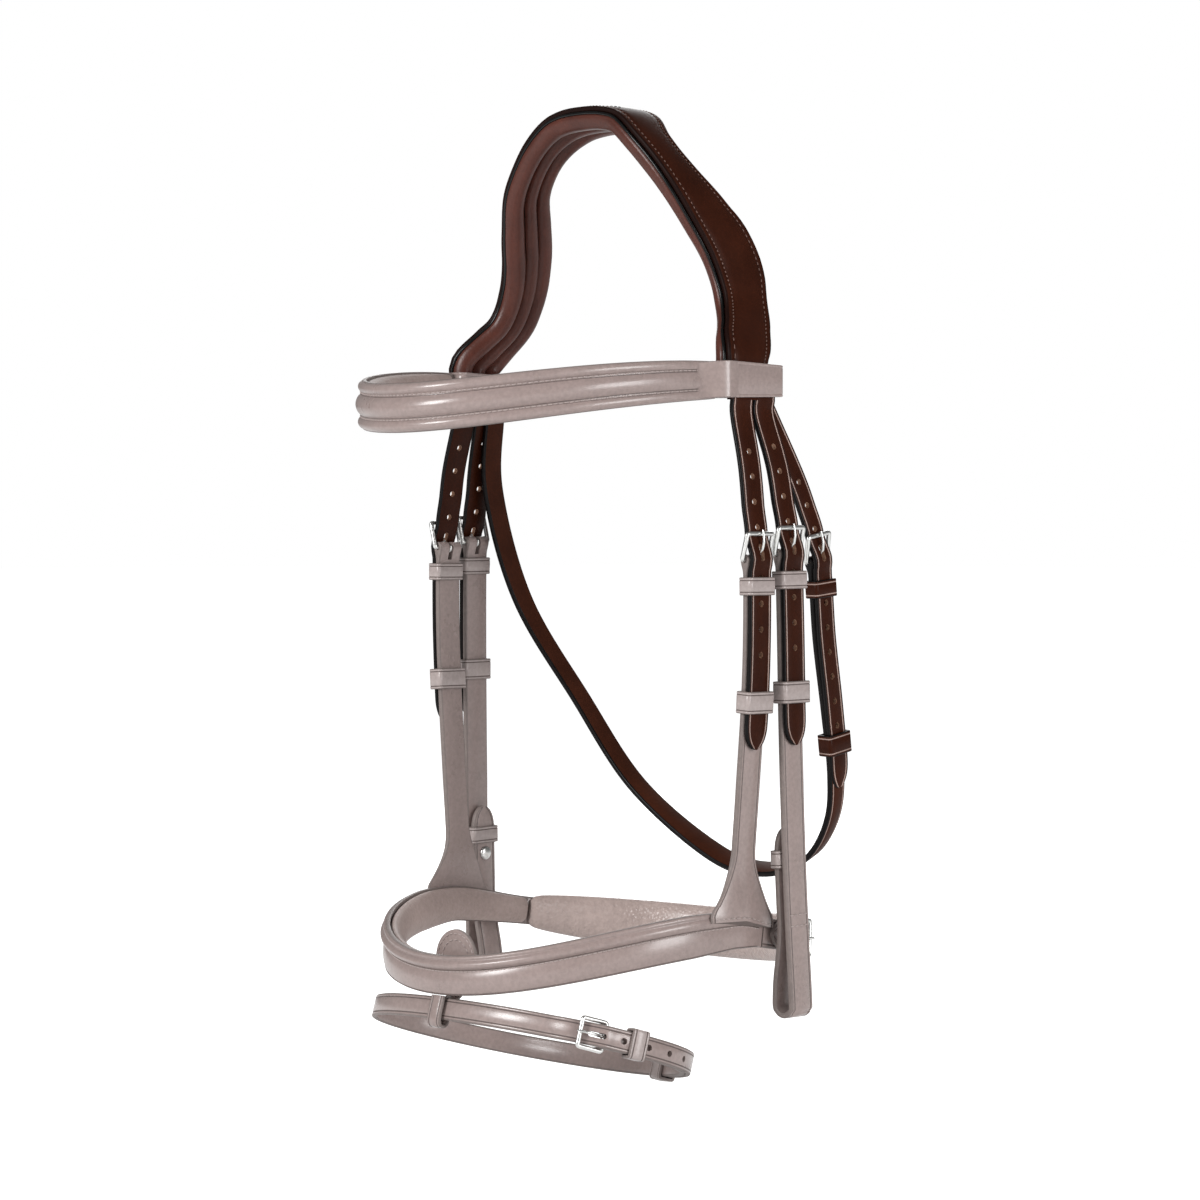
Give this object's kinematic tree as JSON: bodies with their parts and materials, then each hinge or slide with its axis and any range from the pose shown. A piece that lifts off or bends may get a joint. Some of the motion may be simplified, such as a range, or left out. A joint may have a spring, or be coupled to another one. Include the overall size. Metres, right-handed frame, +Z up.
{
  "type": "horse bridle",
  "caption": "Snaffle bridle with padded headpiece, ridged browband, crank style noseband with flash strap, throatlatch and buckled cheek straps.",
  "frame": {"origin": "middle of the headpiece's outer face, at the poll", "axes": "+Z up, the horse faces -Y, its near (left) side is +X"},
  "size_m": [0.2425, 0.2534, 0.5006],
  "materials": {
    "brown_leather": "glossy dark brown",
    "brown_lining": "soft brown lining",
    "throat_leather": "satin mid brown",
    "pale_leather": "satin pale brown",
    "pale_lining": "soft pale lining",
    "pale_keeper": "satin pale brown",
    "stainless_steel": "polished"
  },
  "bodies": {
    "headstall": {"chin_buckle": "stainless_steel", "chin_fixed_keeper": "pale_keeper", "chin_pad": "pale_lining", "chin_strap": "pale_leather", "crown_face": "brown_leather", "crown_padding": "brown_lining", "flash_tab": "pale_leather", "near_bit_cheek_billet_keeper": "pale_keeper", "near_bit_cheek_buckle": "stainless_steel", "near_bit_cheek_fixed_keeper": "pale_keeper", "near_bit_cheek_hook_stud": "stainless_steel", "near_bit_cheek_point_strap": "brown_leather", "near_bit_cheek_strap": "pale_leather", "near_noseband_cheek_buckle": "stainless_steel", "near_noseband_cheek_fixed_keeper": "pale_keeper", "near_noseband_cheek_point_strap": "brown_leather", "near_noseband_cheek_strap": "pale_leather", "noseband_buckle_strap": "pale_leather", "noseband_face": "pale_leather", "noseband_padding": "pale_lining", "off_bit_cheek_billet_keeper": "pale_keeper", "off_bit_cheek_buckle": "stainless_steel", "off_bit_cheek_fixed_keeper": "pale_keeper", "off_bit_cheek_hook_stud": "stainless_steel", "off_bit_cheek_point_strap": "brown_leather", "off_bit_cheek_strap": "pale_leather", "off_noseband_cheek_buckle": "stainless_steel", "off_noseband_cheek_fixed_keeper": "pale_keeper", "off_noseband_cheek_point_strap": "brown_leather", "off_noseband_cheek_strap": "pale_leather", "throatlatch_buckle": "stainless_steel", "throatlatch_fixed_keeper": "brown_leather", "throatlatch_point_strap": "brown_leather", "throatlatch_strap": "throat_leather"},
    "browband": {"browband_face": "pale_leather", "browband_padding": "pale_lining", "browband_near_loop": "pale_leather", "browband_off_loop": "pale_leather"},
    "flash": {"flash_strap": "pale_leather", "flash_buckle": "stainless_steel", "flash_fixed_keeper": "pale_keeper"},
    "chin_tongue": {"chin_tongue": "stainless_steel"},
    "flash_tongue": {"flash_tongue": "stainless_steel"},
    "near_bit_cheek_tongue": {"near_bit_cheek_tongue": "stainless_steel"},
    "near_noseband_cheek_tongue": {"near_noseband_cheek_tongue": "stainless_steel"},
    "off_bit_cheek_tongue": {"off_bit_cheek_tongue": "stainless_steel"},
    "off_noseband_cheek_tongue": {"off_noseband_cheek_tongue": "stainless_steel"},
    "throatlatch_tongue": {"throatlatch_tongue": "stainless_steel"},
    "flash_runner": {"flash_runner": "pale_keeper"},
    "near_bit_cheek_runner": {"near_bit_cheek_runner": "pale_keeper"},
    "near_noseband_cheek_runner": {"near_noseband_cheek_runner": "pale_keeper"},
    "off_bit_cheek_runner": {"off_bit_cheek_runner": "pale_keeper"},
    "off_noseband_cheek_runner": {"off_noseband_cheek_runner": "pale_keeper"},
    "throatlatch_runner": {"throatlatch_runner": "brown_leather"}
  },
  "joints": [
    {"name": "browband_slide", "type": "slide", "parent": "headstall", "child": "browband", "axis": [0, 0, 1], "range_m": [-0.002, 0.0005]},
    {"name": "flash_slide", "type": "slide", "parent": "headstall", "child": "flash", "axis": [1, 0, 0], "range_m": [-0.004, 0.004]},
    {"name": "chin_tongue_hinge", "type": "hinge", "parent": "headstall", "child": "chin_tongue", "pos_m": [0.08734, 0.04584, -0.42551], "axis": [0.0659, -0.1136, -0.9913], "range_deg": [0, 14]},
    {"name": "flash_tongue_hinge", "type": "hinge", "parent": "flash", "child": "flash_tongue", "pos_m": [0.083, -0.08967, -0.46487], "axis": [0, 0.2961, 0.9552], "range_deg": [0, 8]},
    {"name": "near_bit_cheek_tongue_hinge", "type": "hinge", "parent": "headstall", "child": "near_bit_cheek_tongue", "pos_m": [0.114, 0.00871, -0.229], "axis": [-0.0009, 0.9998, 0.0193], "range_deg": [0, 14]},
    {"name": "near_noseband_cheek_tongue_hinge", "type": "hinge", "parent": "headstall", "child": "near_noseband_cheek_tongue", "pos_m": [0.11236, -0.01292, -0.232], "axis": [0, 1, -0.0013], "range_deg": [0, 14]},
    {"name": "off_bit_cheek_tongue_hinge", "type": "hinge", "parent": "headstall", "child": "off_bit_cheek_tongue", "pos_m": [-0.11367, 0.00857, -0.223], "axis": [-0.0016, -0.9997, -0.0255], "range_deg": [0, 14]},
    {"name": "off_noseband_cheek_tongue_hinge", "type": "hinge", "parent": "headstall", "child": "off_noseband_cheek_tongue", "pos_m": [-0.11217, -0.01291, -0.226], "axis": [0.0001, -1, 0.0028], "range_deg": [0, 14]},
    {"name": "throatlatch_tongue_hinge", "type": "hinge", "parent": "headstall", "child": "throatlatch_tongue", "pos_m": [0.10488, 0.04125, -0.2323], "axis": [-0.0027, 0.9833, 0.1822], "range_deg": [0, 14]},
    {"name": "flash_runner_slide", "type": "slide", "parent": "flash", "child": "flash_runner", "axis": [-0.9437, 0.3159, -0.0979], "range_m": [-0.004, 0.004]},
    {"name": "near_bit_cheek_runner_slide", "type": "slide", "parent": "headstall", "child": "near_bit_cheek_runner", "axis": [0.0078, 0.015, -0.9999], "range_m": [-0.008, 0.008]},
    {"name": "near_noseband_cheek_runner_slide", "type": "slide", "parent": "headstall", "child": "near_noseband_cheek_runner", "axis": [-0.0647, -0.0007, -0.9979], "range_m": [-0.008, 0.008]},
    {"name": "off_bit_cheek_runner_slide", "type": "slide", "parent": "headstall", "child": "off_bit_cheek_runner", "axis": [-0.0075, 0.0138, -0.9999], "range_m": [-0.008, 0.008]},
    {"name": "off_noseband_cheek_runner_slide", "type": "slide", "parent": "headstall", "child": "off_noseband_cheek_runner", "axis": [0.0578, 0.0016, -0.9983], "range_m": [-0.008, 0.008]},
    {"name": "throatlatch_runner_slide", "type": "slide", "parent": "headstall", "child": "throatlatch_runner", "axis": [-0.0472, 0.1795, -0.9826], "range_m": [-0.006, 0.006]}
  ]
}
